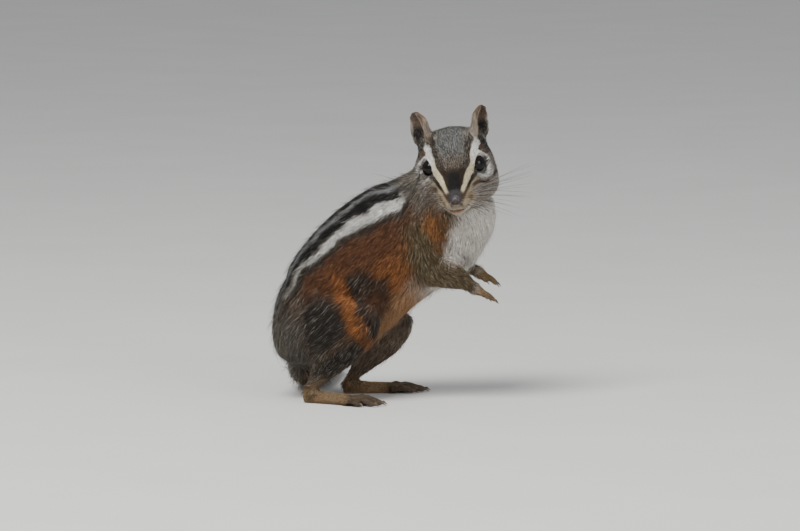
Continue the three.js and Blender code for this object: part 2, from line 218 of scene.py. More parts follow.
def on_trunk(spots):
    """Share along the spine, and the angle round it in degrees: 0 on the back, 180 under the belly."""
    nearest = np.empty(len(spots), int)
    for start in range(0, len(spots), BATCH):
        part = spots[start:start + BATCH]
        away = ((part[:, None, :] - SPINE_LINE[None, :, :]) ** 2).sum(-1)
        nearest[start:start + BATCH] = away.argmin(1)
    away = spots - SPINE_LINE[nearest]
    side = (away * SPINE_SIDE[nearest]).sum(1)
    rise = (away * SPINE_UP[nearest]).sum(1)
    return nearest / (len(SPINE_LINE) - 1), np.degrees(np.arctan2(side, rise))


# Parts of the coat: depth over the skin, tuft length, tuft width, and tufts for each square millimetre.
COAT = {
    "trunk": dict(depth=1.9, length=5.4, width=0.21, dense=13.0),
    "rump": dict(depth=2.8, length=7.0, width=0.23, dense=11.0),
    "belly": dict(depth=2.2, length=6.5, width=0.26, dense=9.5),
    "neck": dict(depth=1.9, length=4.8, width=0.20, dense=12.5),
    "crown": dict(depth=1.0, length=2.6, width=0.16, dense=20.0),
    "cheek": dict(depth=1.6, length=3.6, width=0.17, dense=16.0),
    "muzzle": dict(depth=0.45, length=1.1, width=0.11, dense=34.0),
    "ear": dict(depth=0.15, length=1.1, width=0.09, dense=30.0),
    "arm": dict(depth=1.2, length=3.6, width=0.20, dense=13.0),
    "leg": dict(depth=1.6, length=4.8, width=0.24, dense=11.0),
    "paw": dict(depth=0.3, length=1.4, width=0.12, dense=24.0),
    "tail": dict(depth=3.6, length=10.5, width=0.28, dense=11.5),
}
COAT_KINDS = list(COAT)


COAT_OF = (
    ("ear", "ear"), ("hand", "paw"), ("hind_foot", "paw"), ("tail", "tail"), ("forearm", "arm"),
    ("shank", "leg"), ("thigh", "rump"), ("rump", "rump"), ("neck", "neck"), ("head", "crown"),
)


def kind_of(node):
    """The kind of coat that grows on a part of the body: the trunk's unless the list names another."""
    return next((kind for start, kind in COAT_OF if node.startswith(start)), "trunk")


FLESH = sorted(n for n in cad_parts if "claw" not in n and not n.startswith(("eye", "nose")))


def skin_block():
    """One mesh of all the flesh, each part swollen a little so that the gaps between them close."""
    spots, faces, owners, count = [], [], [], 0
    filled = FLESH + ["eye_right", "eye_left", "nose"]
    for name in filled:
        number = FLESH.index(name if name in FLESH else "head")
        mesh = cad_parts[name].data
        merged, inverse = np.unique(np.round(read(mesh.vertices, "co", 3), 6), axis=0, return_inverse=True)
        tris = inverse.reshape(-1)[triangles(mesh)]
        normals = np.zeros_like(merged)
        across = np.cross(merged[tris[:, 1]] - merged[tris[:, 0]], merged[tris[:, 2]] - merged[tris[:, 0]])
        for corner in range(3):
            np.add.at(normals, tris[:, corner], across)
        swell = 0.02 if name.startswith("ear") else 0.22
        spots.append(merged + unit(normals) * swell * MM)
        faces.append(tris + count)
        owners.append(np.full(len(tris), number))
        count += len(merged)
    return np.vstack(spots), np.vstack(faces), np.concatenate(owners)


def new_mesh(name, spots, faces, smooth=True):
    """A mesh object from arrays of points and of faces that all have the same number of corners."""
    mesh = bpy.data.meshes.new(name)
    mesh.vertices.add(len(spots))
    mesh.vertices.foreach_set("co", np.asarray(spots, np.float32).ravel())
    corners = faces.shape[1]
    mesh.loops.add(faces.size)
    mesh.loops.foreach_set("vertex_index", faces.astype(np.int32).ravel())
    mesh.polygons.add(len(faces))
    mesh.polygons.foreach_set("loop_start", np.arange(0, faces.size, corners, dtype=np.int32))
    mesh.update(calc_edges=True)
    mesh.validate()
    mesh.polygons.foreach_set("use_smooth", np.full(len(mesh.polygons), smooth))
    piece = bpy.data.objects.new(name, mesh)
    bpy.context.scene.collection.objects.link(piece)
    return piece


def spread(values, edges, rounds, share=0.5, weight=None):
    """Averages each value with its neighbours' along the mesh's edges."""
    count = len(values)
    degree = np.bincount(edges.ravel(), minlength=count).astype(float)
    rows = values.astype(float).reshape(count, -1)
    amount = share if weight is None else share * weight[:, None]
    for _ in range(rounds):
        sums = np.stack([
            np.bincount(edges[:, 0], row[edges[:, 1]], count)
            + np.bincount(edges[:, 1], row[edges[:, 0]], count)
            for row in rows.T
        ], 1)
        rows = rows + (sums / np.maximum(degree, 1)[:, None] - rows) * amount
    return rows.reshape(values.shape)


VOXEL = 0.6 * MM


def refine(mesh):
    """Divides the faces round the eyes and over the muzzle, for thin lids and a sharp mouth."""
    shape = bmesh.new()
    shape.from_mesh(mesh)
    shape.verts.ensure_lookup_table()
    spots = np.array([v.co for v in shape.verts])
    forward, out, up = head_place(spots)
    fine = (forward > 9.5) & (np.abs(out) < 6) & (up > -14) & (up < -3)
    fine &= np.linalg.norm(spots - HEAD_MIDDLE, axis=1) < 25 * MM
    for middle in EYES.values():
        fine |= np.linalg.norm(spots - middle, axis=1) < 5.6 * MM
    edges = [e for e in shape.edges if fine[e.verts[0].index] and fine[e.verts[1].index]]
    bmesh.ops.subdivide_edges(shape, edges=edges, cuts=2, use_grid_fill=True)
    bmesh.ops.triangulate(shape, faces=[f for f in shape.faces if len(f.verts) > 4])
    shape.to_mesh(mesh)
    shape.free()


def block_out():
    """Remeshes the swollen parts into one closed skin, and finds the part nearest to each of its points."""
    spots, faces, owner = skin_block()
    piece = new_mesh("skin", spots, faces)
    remesh = piece.modifiers.new("remesh", "REMESH")
    remesh.mode = "VOXEL"
    remesh.voxel_size = VOXEL
    bpy.context.view_layer.update()
    shaped = bpy.data.meshes.new_from_object(piece.evaluated_get(bpy.context.evaluated_depsgraph_get()))
    piece.modifiers.clear()
    piece.data = shaped
    refine(shaped)
    tree = BVHTree.FromPolygons([Vector(v) for v in spots], faces.tolist())
    points, edges = read(shaped.vertices, "co", 3), read(shaped.edges, "vertices", 2, whole=True)
    near = np.array([owner[tree.find_nearest(Vector(p))[2]] for p in points])
    return piece, points, edges, near


skin, points, edges, near = block_out()
part_of = np.array(FLESH)[near]
in_ear = np.char.startswith(part_of, "ear")
in_paw = np.char.startswith(part_of, "hand") | np.char.startswith(part_of, "hind_foot")
in_head = part_of == "head"
in_tail = np.char.startswith(part_of, "tail")

# Rounds off the facets, gently on thin parts.
loose = np.where(in_paw, 0.15, np.where(in_ear, 0.1, 1.0))
loose = spread(loose, edges, 4)
points = spread(points, edges, 16, 0.5, loose)
# Evens out the ears' bumps, each step in undone by a step out so that their thin rims stay.
thin = spread(in_ear.astype(float), edges, 2)
EAR_ROUNDS, STEP_IN, STEP_OUT = 14, 0.5, -0.53
for _ in range(EAR_ROUNDS):
    points = spread(points, edges, 1, STEP_IN, thin)
    points = spread(points, edges, 1, STEP_OUT, thin)


def near_place(spots, middle, reach):
    """1 at a middle place and fading to 0 beyond its reach along x, y and z, all in millimetres."""
    return hill(*zip((spots / MM).T, middle, reach))


# Lets the nape, and the rump above the tail, run over without a step.
run_over = near_place(points, (1, -38, 79), (11, 16, 8)) + near_place(points, (-34, -36, 13), (9, 15, 8))
run_over = np.minimum(run_over * 1.4, 1) * ~(in_ear | in_paw)
RUN_OVER_ROUNDS = 70
points = spread(points, edges, RUN_OVER_ROUNDS, 0.5, run_over)


def coat_shares(points):
    """How much of each kind of coat grows at each point, softened across the borders."""
    shares = np.zeros((len(points), len(COAT_KINDS)))
    kinds = np.array([kind_of(name) for name in FLESH])[near]
    forward, out, up = head_place(points)
    _, angle = on_trunk(points)
    muzzle = in_head & (forward > 8.5 - 0.5 * np.maximum(-up - 6, 0))
    kinds = np.where(in_head & (up < -5) & (forward < 9), "cheek", kinds)
    kinds = np.where(in_head & (forward > 4) & (forward <= 9) & (np.abs(out) < 9), "muzzle", kinds)
    kinds = np.where(muzzle, "muzzle", kinds)
    for middle in EYES.values():
        ring = in_head & (np.linalg.norm(points - middle, axis=1) < 5.2 * MM)
        kinds = np.where(ring, "muzzle", kinds)
    kinds = np.where((kinds == "trunk") & (np.abs(angle) > 120), "belly", kinds)
    for k, kind in enumerate(COAT_KINDS):
        shares[:, k] = kinds == kind
    return spread(shares, edges, 14)


shares = coat_shares(points)
depth = shares @ np.array([COAT[k]["depth"] for k in COAT_KINDS]) * MM


def set_points(piece, points):
    piece.data.vertices.foreach_set("co", points.astype(np.float32).ravel())
    piece.data.update()


# The skin lies inside the solids by the coat's depth.
set_points(skin, points)
normals = unit(spread(read(skin.data.vertex_normals, "vector", 3), edges, 8))
points = points - normals * depth[:, None]
points = spread(points, edges, 4, 0.5, loose)
# The loose fur of the throat fills out under the cheek.
THROAT_FILL = 2.8 * MM
throat = near_place(points, (36, -40, 66), (7, 16, 11)) * ~in_head
points = points + normals * (throat * THROAT_FILL)[:, None]

# The lids' thickness over the ball, and how deep the skin lies inside the ball, as a share of its radius.
LID_THICKNESS = 0.20 * MM
UNDER_BALL = 0.88


def shape_lids(points):
    """Opens the skin round each eye and raises a thin lid that follows the ball."""
    for side, middle in EYES.items():
        away = points - middle
        reach = np.linalg.norm(away, axis=1)
        way = away / np.maximum(reach, 1e-9)[:, None]
        turn, opening = lid_turn(side, way)
        close = (reach < 6.0 * MM) & (turn < math.radians(120)) & in_head
        fade = ramp(turn, opening + math.radians(14), opening + math.radians(48))
        lifted = np.maximum(reach, EYE_RADIUS + LID_THICKNESS)
        outside = lifted * (1 - fade) + reach * fade
        wanted = np.where(turn < opening, EYE_RADIUS * UNDER_BALL, outside)
        points = np.where(close[:, None], middle + way * wanted[:, None], points)
    return points


def mouth_height(forward, out):
    """The mouth line's height in the head's frame, in millimetres: it sinks towards its corners."""
    return -9.1 - 0.25 * np.maximum(15 - forward, 0) + 0.05 * out ** 2


def shape_face(points):
    """Presses in the mouth's line, the groove under the nose and a hollow before each eye.

    It also fills out the lip, the whisker pads and the chin.
    """
    forward, out, up = head_place(points)
    aside = np.abs(out)
    front = in_head * ramp(forward, 8.5, 10.5)
    line = mouth_height(forward, out)
    crease = hill((up, line, 0.30)) * front * fall(aside, 3.6, 4.8)
    lip = hill((up - line, -0.8, 0.5)) * front * fall(aside, 2.5, 4.0)
    groove = hill((out, 0, 0.35)) * band(up, -9.6, -6.6, 0.4) * in_head * ramp(forward, 13, 14.5)
    pads = hill((aside, 2.4, 1.5), (up, -7.6, 1.5)) * in_head * ramp(forward, 10, 13)
    hollow = hill((aside, 6.0, 1.6), (forward, 6.5, 2.2), (up, 0.2, 2.0))
    push = -0.6 * crease + 0.2 * lip - 0.35 * groove + 0.5 * pads - 0.35 * hollow * in_head
    chin = hill((up, -12.3, 1.5), (out, 0, 2.6)) * in_head * band(forward, 8.5, 16, 1.5)
    points = points + normals * (push * MM)[:, None]
    return points + (FORWARD * 0.3 - UP) * (chin * 1.1 * MM)[:, None]


# The ears' foot and height in the head's frame, in millimetres.
EAR_FOOT = 3
EAR_HEIGHT = 14


def ear_place(spots):
    """Each spot's share of an ear's height, millimetres across it, side, and the angle at which it opens."""
    forward, out, up = head_place(spots)
    height = (up - EAR_FOOT) / EAR_HEIGHT
    opens = np.where(out > 0, EAR_OPENS["left"], EAR_OPENS["right"])
    lean_forward, lean_out = -9 - 3.6 * height, 9 + 3.4 * height
    across = (lean_forward - forward) * np.sin(opens) + (np.abs(out) - lean_out) * np.cos(opens)
    return height, across, np.sign(out), opens


def round_ears(points):
    """Widens each ear towards its tip and lowers the tip itself, so that it ends in a broad curve."""
    height, across, side, opens = ear_place(points)
    across_way = OUT * (side * np.cos(opens))[:, None] - FORWARD * np.sin(opens)[:, None]
    wider = (0.12 * ramp(height, 0.2, 0.5) + 0.5 * ramp(height, 0.55, 0.95)) * in_ear
    lower = 0.9 * ramp(height, 0.7, 1.05) * in_ear
    return points + (across_way * (across * wider)[:, None] - UP * lower[:, None]) * MM


points = round_ears(points)
points = shape_face(points)
points = shape_lids(points)

# The tail's middle line, through the middles of its four lengths.
TAIL_MIDDLE = np.array([box_middle("tail_%d" % i) for i in (1, 2, 3, 4)])
TAIL_WAY = unit(np.gradient(TAIL_MIDDLE, axis=0))


def tail_place(spots):
    """The nearest place on the tail's middle line, and the way along it to the tip."""
    here = [np.interp(spots[:, 1], TAIL_MIDDLE[:, 1], TAIL_MIDDLE[:, k]) for k in range(3)]
    way = [np.interp(spots[:, 1], TAIL_MIDDLE[:, 1], TAIL_WAY[:, k]) for k in range(3)]
    return np.stack(here, 1), unit(np.stack(way, 1))


# Steps along the spine's line at the ribs and at the shoulder.
RIBS, SHOULDER = 90, 120


def lie_of_coat(points):
    """The way the hair points on each spot: from nose to tail, and down each leg to its toes."""
    share, angle = on_trunk(points)
    here = np.minimum((share * (len(SPINE_LINE) - 1)).astype(int), len(SPINE_LINE) - 1)
    down = np.where(angle > 0, 1.0, -1.0)[:, None] * SPINE_SIDE[here] * np.cos(np.radians(angle))[:, None]
    down = down - SPINE_UP[here] * np.abs(np.sin(np.radians(angle)))[:, None]
    lie = -SPINE_AHEAD[here] + 0.26 * down
    from_nose = unit(points - from_head(17.5, 0, -3.5)) - FORWARD * 0.25
    lie = np.where(in_head[:, None], from_nose, lie)
    for side in ("right", "left"):
        ear_way = unit(UP * 1.0 - FORWARD * 0.3 + OUT * (0.2 if side == "left" else -0.2))
        arm, fore, hand = (box_middle(n + "_" + side) for n in ("upper_arm", "forearm", "hand"))
        thigh, shank, foot = (box_middle(n + "_" + side) for n in ("thigh", "shank", "hind_foot"))
        low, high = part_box("hind_foot_" + side)
        heel = np.array([low.x, (low.y + high.y) / 2, low.z])
        ways = {
            "ear_": ear_way,
            "upper_arm_": unit(fore - arm) + unit(SPINE_LINE[RIBS] - SPINE_LINE[SHOULDER]) * 0.5,
            "forearm_": unit(hand - fore),
            "hand_": unit(hand - fore),
            "thigh_": np.array([-0.75, 0.0, -0.65]),
            "shank_": unit(heel - shank),
            "hind_foot_": unit(foot - heel),
        }
        for start, way in ways.items():
            lie = np.where((part_of == start + side)[:, None], way, lie)
    middle, tail_way = tail_place(points)
    out_way = points - middle
    out_way = unit(out_way - (out_way * tail_way).sum(1)[:, None] * tail_way) * 0.35
    lie = np.where(in_tail[:, None], tail_way + out_way, lie)
    lie = spread(unit(lie), edges, 40)
    for middle in EYES.values():
        away = points - middle
        reach = np.linalg.norm(away, axis=1)
        away = away / reach[:, None]
        close = in_head * fall(reach, 4.2 * MM, 7.5 * MM)
        inward = np.minimum((lie * away).sum(1), 0)
        lie = lie + away * ((0.35 - inward) * close)[:, None]
    return lie


set_points(skin, points)
normals = unit(read(skin.data.vertex_normals, "vector", 3))
lie = lie_of_coat(points)
lie = unit(lie - (lie * normals).sum(1)[:, None] * normals)


def noise(spots, size, seed):
    """Smooth random values from -1 to 1, about size millimetres across."""
    turn = np.random.default_rng(seed)
    total = np.zeros(len(spots))
    for _ in range(10):
        way = turn.normal(size=3)
        way /= np.linalg.norm(way)
        wave = turn.uniform(0.6, 1.5) * 2 * math.pi / (size * 2)
        total += np.sin(spots @ way / MM * wave + turn.uniform(0, 2 * math.pi))
    return total / 4.0


def plain(name, spots):
    return np.tile(HAIR[name], (len(spots), 1))


def paint(colour, *coats):
    """Lays coats of named hair colours over a colour, each by an amount from 0 to 1."""
    for name, amount in coats:
        colour = colour + (HAIR[name] - colour) * np.clip(amount, 0, 1)[:, None]
    return colour


STRIPES = [
    # Dark stripes on each side of the back: colour, edges in degrees from its middle, softness and strength.
    ("dark_brown", 38, 48, 3, 0.8), ("black", -99, 8.5, 1.5, 1), ("grey", 9.5, 15, 1.2, 0.9),
    ("black", 15.5, 26, 1.5, 1),
]


def trunk_markings(spots, share, angle):
    """Back stripes, brown and orange flanks, a belly in painted shade, a pale chest and a grizzled rump."""
    wave = noise(spots, 5.0, 1) * 1.6 + noise(spots, 1.6, 3) * 0.8
    around = np.abs(angle) + wave
    x, z = spots[:, 0] / MM + wave, spots[:, 2] / MM + wave
    lower = ramp(around, 72, 106) * ramp(share, 0.32, 0.50) * (1 - 0.6 * ramp(share, 0.70, 0.80))
    bib = around + noise(spots, 2.5, 19) * 3
    back = fall(around, 44, 50) * band(share, 0.22, 0.95, 0.08)
    pale = fall(around, 44, 50) * band(share, 0.36, 0.92, 0.10)
    # The white stripe is narrower towards the rump and greyer at the neck.
    narrow = 5.0 * fall(share, 0.38, 0.62)
    white = band(around, 26.5 + narrow, 38.5 - narrow * 0.4, 1.3) * (1 - 0.35 * ramp(share, 0.86, 0.92))
    colour = paint(
        plain("grizzle", spots),
        ("thigh", ramp(around, 70, 100) * fall(share, 0.15, 0.3) * 0.5),
        ("upper_flank", ramp(around, 40, 50) * ramp(share, 0.24, 0.40)),
        ("orange", lower * 0.75),
        ("olive", ramp(around, 50, 70) * ramp(share, 0.64, 0.74) * 0.7),
        # The belly's colour carries painted shade and painted warm bounce light.
        ("belly", ramp(around, 118, 134) * ramp(share, 0.14, 0.28)),
        ("chest", ramp(bib, 104, 128) * ramp(share, 0.58, 0.70)),
        *((name, back * band(around, low, high, soft) * much) for name, low, high, soft, much in STRIPES),
        ("white", pale * white),
        ("nape", ramp(share, 0.88, 0.98) * fall(around, 95, 115) * 0.85),
        ("cheek", hill((x, 10, 6), (z, 78, 6.5)) * ramp(around, 42, 58) * 0.6),
        ("orange", hill((x, 14.5, 6), (z, 64, 8)) * ramp(around, 62, 76) * 0.85),
    )
    return colour, 0.5 * (1 - 0.75 * back) * (1 - 0.2 * lower) * (1 - 0.7 * ramp(around, 106, 120))


def head_markings(spots):
    """Grizzled crown; on each side a pale brow, dark eye line, pale stripe, brown stripe and pale cheek."""
    forward, out, up = head_place(spots)
    out = np.abs(out)
    # The markings lie at angles round the head's long line; a degree here is the angle of one millimetre.
    middle = -4 - 2 * ramp(forward, 8, 16)
    angle = np.degrees(np.arctan2(up - middle, out)) + noise(spots, 3.0, 2) * 0.9
    degree = np.degrees(1 / np.maximum(np.hypot(up - middle, out), 2.0))
    gap = eye_gap(spots)
    beyond = gap + noise(spots, 1.5, 4) * 0.08
    brow = 49 + 5 * ramp(forward, 12, 16) - 5 * fall(forward, -6, 0)
    brow_top = brow - 6.5 * hill((forward, 6.5, 3.5)) + (1.15 - 0.04 * np.clip(forward, 0, 16)) * degree
    edge = band(angle, brow_top, brow_top + 2.6 * degree, 0.6 * degree)
    eye_line = 25 + 8 * ramp(forward, 10, 14)
    line = band(angle, eye_line - 0.85 * degree, eye_line + 0.65 * degree, 0.3 * degree)
    brow_low = brow_top - 2.3 * degree
    brow_low = brow_low + (eye_line + 0.6 * degree - brow_low) * ramp(forward, -2, 1.5)
    below = fall(angle, brow_low - 0.3 * degree, brow_low + 0.2 * degree)
    stripe = band(angle, brow_low, brow_top, 0.22 * degree)
    stripe = stripe * ramp(forward, -8, -4) * fall(forward, 14.6, 15.8)
    cheek_line = -9 + 15 * ramp(forward, 3, 10) - 3 * fall(forward, -6, 0)
    lower_pale = band(angle, cheek_line + 0.6 * degree, eye_line - 0.5 * degree, 0.35 * degree)
    brown = band(angle, cheek_line - 0.75 * degree, cheek_line + 0.75 * degree, 0.4 * degree)
    muzzle = ramp(forward, 9.5, 12) * fall(angle, eye_line - 1.0 * degree, eye_line - 0.4 * degree)
    below_mouth = mouth_height(forward, out) - up
    lips = band(below_mouth, 0.1, 1.5, 0.25) * ramp(forward, 10.5, 12) * fall(out, 1.8, 2.8)
    mouth = band(below_mouth, -0.3, 0.25, 0.12) * ramp(forward, 9.5, 11) * fall(out, 3.0, 4.2)
    ear_foot = fall(np.hypot((forward + 8) / 3.8, (up - 2) / 4.5), 0.6, 1.1)
    colour = paint(
        plain("crown", spots),
        ("crown_brown", 0.75 * ramp(out, 2.0, 6.5) + ramp(forward, 1, 8)),
        ("dark_brown", edge * ramp(forward, -8, -3)),
        ("black", ramp(forward, 8.0, 11.0) * fall(out, 1.4, 2.2) * ramp(up, -6.5, -4.5)),
        ("cheek_brown", below),
        ("cream", stripe),
        ("white", stripe * fall(forward, 0.5, 7.0)),
        ("white", lower_pale * fall(forward, 4, 8) * ramp(forward, -4, 1) * 0.8),
        ("temple", lower_pale * fall(forward, -4, 1) * 0.8),
        ("muzzle", lower_pale * ramp(forward, 5, 9) * 0.9),
        ("cheek", fall(angle, cheek_line - 0.9 * degree, cheek_line)),
        ("cheek_brown", brown * fall(forward, 9, 12) * 0.8),
        ("muzzle", muzzle),
        ("mottle", muzzle * ramp(noise(spots, 1.8, 9), 0.0, 0.5) * band(up, -8, -5, 1) * 0.8),
        ("pad", muzzle * fall(up, -8.6, -7.2) * 0.8),
        ("black", line * fall(forward, -5, -3) * 0.8),
        ("snout", ramp(forward, 14.6, 15.6) * fall(out, 1.5, 2.2) * ramp(up, -7.6, -6.2)),
        ("lips", lips * 0.9),
        ("mouth", mouth * 0.9),
        ("white", band(beyond, 0.4, 1.15, 0.18) * 0.9),
        ("black", line * ramp(forward, 2.6, 3.6) * fall(forward, 11.5, 13.5) * 0.92),
        ("black", fall(beyond, 0.25, 0.5)),
        # Near-black painted shade at the ear's foot, where its hollow opens.
        ("ear_hollow_shade", ear_foot * ramp(out, 8.5, 10.0) * ramp(gap, 2.0, 3.0)),
        ("nape", fall(forward, -13, -9) * ramp(up, -12, -8)),
    )
    grizzle = 0.85 * (1 - 0.5 * below) * fall(forward, 7, 10) * (1 - 0.7 * stripe) * (1 - 0.3 * edge)
    return colour, grizzle


def ear_markings(spots, normals):
    """Painted shade in the hollow low and behind, a pale ridge, a tan front edge, a brown back, a painted rim
    highlight.
    """
    height, across, side, opens = ear_place(spots)
    facing = normals @ FORWARD * np.cos(opens) + (normals @ OUT) * side * np.sin(opens)
    across = across / 3.6 + noise(spots, 1.5, 13) * 0.08
    inner = ramp(facing, -0.1, 0.3)
    hollow = ramp(across + 0.25 * fall(height, 0.1, 0.35), -0.25, 0.05)
    ridge = hill((across + 0.22, 0.35 * height, 0.10)) * inner * band(height, 0.15, 0.85, 0.1)
    colour = paint(
        plain("ear_fur", spots),
        ("ear_front", inner * fall(across, -0.5, -0.2)),
        ("dark_brown", inner * ramp(height, 0.45, 0.7) * ramp(across, -0.1, 0.2) * 0.6),
        # Near-black painted shade in the ear's hollow, low and behind.
        ("ear_hollow_shade", inner * hollow * fall(height, 0.36, 0.60)),
        ("ear_rim", ridge * 0.6),
        # The pale rim is a painted highlight along the ear's edge.
        ("ear_rim", (ramp(np.abs(across), 1.0, 1.15) + ramp(height, 0.95, 1.02)) * 0.35),
    )
    return colour, np.full(len(spots), 0.2)


# How much further forward the left hind leg's markings lie than the right one's, in millimetres.
LEFT_LEG_AHEAD = 7.5


def markings(spots, normals, parts):
    """Colour and grizzle of the coat at any spots; the skin and the tufts share it."""
    share, angle = on_trunk(spots)
    colour, grizzle = trunk_markings(spots, share, angle)
    weights = dict(zip(PART_LAYERS, parts.T))
    x, y, z = (spots / MM).T
    tail_middle, _ = tail_place(spots)
    beside = np.abs(x - tail_middle[:, 0] / MM) + noise(spots, 2.5, 14) * 0.8
    aside = np.abs(y + 38.2)
    ahead = x - LEFT_LEG_AHEAD * ramp(y, -41, -35)
    strip_way = ahead + 15 - (46 - z) * 0.42 + noise(spots, 4.0, 15) * 0.8
    strip = band(strip_way, -2.4, 2.6, 1.2) * band(z, 22, 50, 3) * ramp(aside, 10, 14)
    inner = fall(aside, 12, 17)
    rear = ramp(-x, 24, 33)
    toes = ramp(x, -16.5, -13.0) * fall(z, 12, 16) * (y < -43)
    toes = np.maximum(toes, ramp(x, -2.5, 1.5) * fall(z, 12, 16) * (y > -43))
    tail = paint(
        plain("tail_dark", spots),
        ("tail_tawny", fall(beside, 1.0, 2.4) * (0.6 + 0.4 * noise(spots, 3.0, 5))),
        ("tail_edge", ramp(beside, 2.6, 3.8) * 0.9),
        ("grizzle", fall(y, -38, -18)),
    )
    arm = paint(plain("olive", spots), ("orange", ramp(noise(spots, 6.0, 6), 0.2, 0.9) * 0.35))
    thigh = paint(
        plain("thigh", spots),
        ("grizzle", rear * 0.8 + 0.12 * noise(spots, 6.0, 8)),
        ("orange", strip * 0.8),
        ("inner_leg", inner * 0.8),
    )
    leg = paint(plain("thigh", spots), ("inner_leg", inner * 0.8), ("paw", fall(z, 4, 14)))
    mottle = ramp(noise(spots, 2.0, 16), 0, 0.8) * 0.5
    paw = paint(plain("paw", spots), ("mottle", mottle), ("toe", toes * 0.7))
    layers = {
        "head": head_markings(spots), "ear": ear_markings(spots, normals), "tail": (tail, 0.4),
        "arm": (arm, 0.45), "thigh": (thigh, 0.18 + 0.25 * rear), "leg": (leg, 0.35), "paw": (paw, 0.3),
    }
    for name, (layer, grain) in layers.items():
        colour = colour + (layer - colour) * weights[name][:, None]
        grizzle = grizzle + (grain - grizzle) * weights[name]
    # Dark hair and painted fold shade on the knee and the groin before it, with a lighter brown middle.
    knee_top = z + 0.3 * np.abs(ahead + 6) + noise(spots, 3.5, 17) * 1.2
    knee_front = ahead + noise(spots, 3.0, 18) * 1.2 - 0.15 * (z - 36)
    knee = ramp(strip_way, 1.4, 3.6) * fall(knee_top, 47.5, 51.5) * fall(knee_front, 0.5, 5.5)
    knee = knee * ramp(z, 20, 26) * ramp(aside, 9, 14) * (1 - weights["arm"])
    middle = near_place(spots, (-1.5, -56, 39), (4.0, 12, 4.5)) * knee
    colour = paint(colour, ("thigh", knee * 0.9), ("upper_flank", middle * 0.75), ("orange", strip * 0.5))
    return np.clip(colour, 0.002, 1), np.clip(grizzle, 0, 1)


# Layers of markings, and the parts of the body that each one covers.
PART_LAYERS = {
    "head": ("head",), "ear": ("ear",), "tail": ("tail",), "arm": ("upper_arm", "forearm"),
    "thigh": ("thigh",), "leg": ("shank",), "paw": ("hand", "hind_foot"),
}

sharp_parts = np.stack([
    np.any([np.char.startswith(part_of, start) for start in starts], axis=0).astype(float)
    for starts in PART_LAYERS.values()
], 1)
# Each layer's share at each point fades across the border, and over less skin on the head.
soft_parts = spread(sharp_parts, edges, 16)
keep_sharp = (in_ear | in_head)[:, None]
soft_parts = np.where(keep_sharp, 0.5 * soft_parts + 0.5 * spread(sharp_parts, edges, 4), soft_parts)

skin_colour, _ = markings(points, normals, soft_parts)


def write_colour(piece, colours):
    """The coat's colour for each point of a mesh, kept with the mesh for its material."""
    layer = piece.data.color_attributes.new("coat_colour", "FLOAT_COLOR", "POINT")
    rgba = np.ones((len(colours), 4), np.float32)
    rgba[:, :3] = colours
    layer.data.foreach_set("color", rgba.ravel())


# The skin between the tufts is darkened with painted shade of the coat over it, and less so under the
# shortest hair.
short = sum(shares[:, COAT_KINDS.index(kind)] for kind in ("muzzle", "paw", "ear"))
write_colour(skin, skin_colour * (0.6 + 0.3 * short)[:, None])

skin_tris = triangles(skin.data)
skin_tree = BVHTree.FromPolygons([Vector(p) for p in points], skin_tris.tolist())

# The least height of the hair over the floor.
FLOOR_CLEAR = 0.08 * MM


def on_skin(spots, height):
    """The skin's nearest places to some spots, each raised over it by a height but kept above the floor."""
    placed = np.empty_like(spots)
    for i, spot in enumerate(spots):
        place, normal, _, _ = skin_tree.find_nearest(Vector(spot))
        placed[i] = place + normal * height[i]
    placed[:, 2] = np.maximum(placed[:, 2], FLOOR_CLEAR)
    return placed


def scatter(shares):
    """Root places over the whole skin, as dense as its coat: triangles and the weights of their corners."""
    a, b, c = (points[skin_tris[:, k]] for k in range(3))
    area = np.linalg.norm(np.cross(b - a, c - a), axis=1) / 2 / MM ** 2
    dense = shares @ np.array([COAT[k]["dense"] for k in COAT_KINDS])
    wanted = area * dense[skin_tris].mean(1) * DENSITY
    count = np.floor(wanted + rng.random(len(wanted))).astype(int)
    tri = np.repeat(np.arange(len(skin_tris)), count)
    r = np.sqrt(rng.random(len(tri)))
    q = rng.random(len(tri))
    weights = np.stack([1 - r, r * (1 - q), r * q], 1)
    return tri, weights


DENSITY = 1.0
tuft_tri, tuft_weights = scatter(shares)


def at_roots(values):
    return (values[skin_tris[tuft_tri]] * tuft_weights[:, :, None]).sum(1)


roots = at_roots(points)
root_normals = unit(at_roots(normals))
root_lie = unit(at_roots(lie))
root_shares = at_roots(shares)
root_parts = at_roots(soft_parts)

# Leaves the eyeballs and the nose bare: how far beyond the lids and from the nose's middle the hair starts.
LID_BARE = 0.22
NOSE_BARE = 1.75 * MM
kept = (eye_gap(roots) >= LID_BARE) & (np.linalg.norm(roots - NOSE_MIDDLE, axis=1) >= NOSE_BARE)
roots, root_normals, root_lie = roots[kept], root_normals[kept], root_lie[kept]
root_shares, root_parts = root_shares[kept], root_parts[kept]


def coat_value(name):
    return root_shares @ np.array([COAT[k][name] for k in COAT_KINDS])


def comb(roots, lie, normals):
    """Turns each tuft a little in the skin's plane, in locks that share a turn and by itself."""
    side = unit(np.cross(normals, lie))
    turn = noise(roots, 2.2, 11) * 0.20 + noise(roots, 6.0, 12) * 0.14 + rng.normal(0, 0.13, len(roots))
    return unit(lie * np.cos(turn)[:, None] + side * np.sin(turn)[:, None])


tuft_way = comb(roots, root_lie, root_normals)
tuft_length = coat_value("length") * MM * rng.uniform(0.7, 1.15, len(roots))
tuft_height = coat_value("depth") * MM * rng.uniform(0.45, 1.0, len(roots)) ** 0.7
tuft_width = coat_value("width") * MM * rng.uniform(0.75, 1.25, len(roots))
on_head = root_parts[:, 0] + root_parts[:, 1]
# The hair before and between the ears stands up a little.
forward, out, up = head_place(roots)
tuft = hill((forward, -7, 4.0), (np.abs(out), 6.5, 3.0)) * ramp(up, 5, 8) * on_head
tuft_height = tuft_height + tuft * rng.uniform(0.3, 1.3, len(roots)) * MM
tuft_length = tuft_length * (1 + 0.4 * tuft)
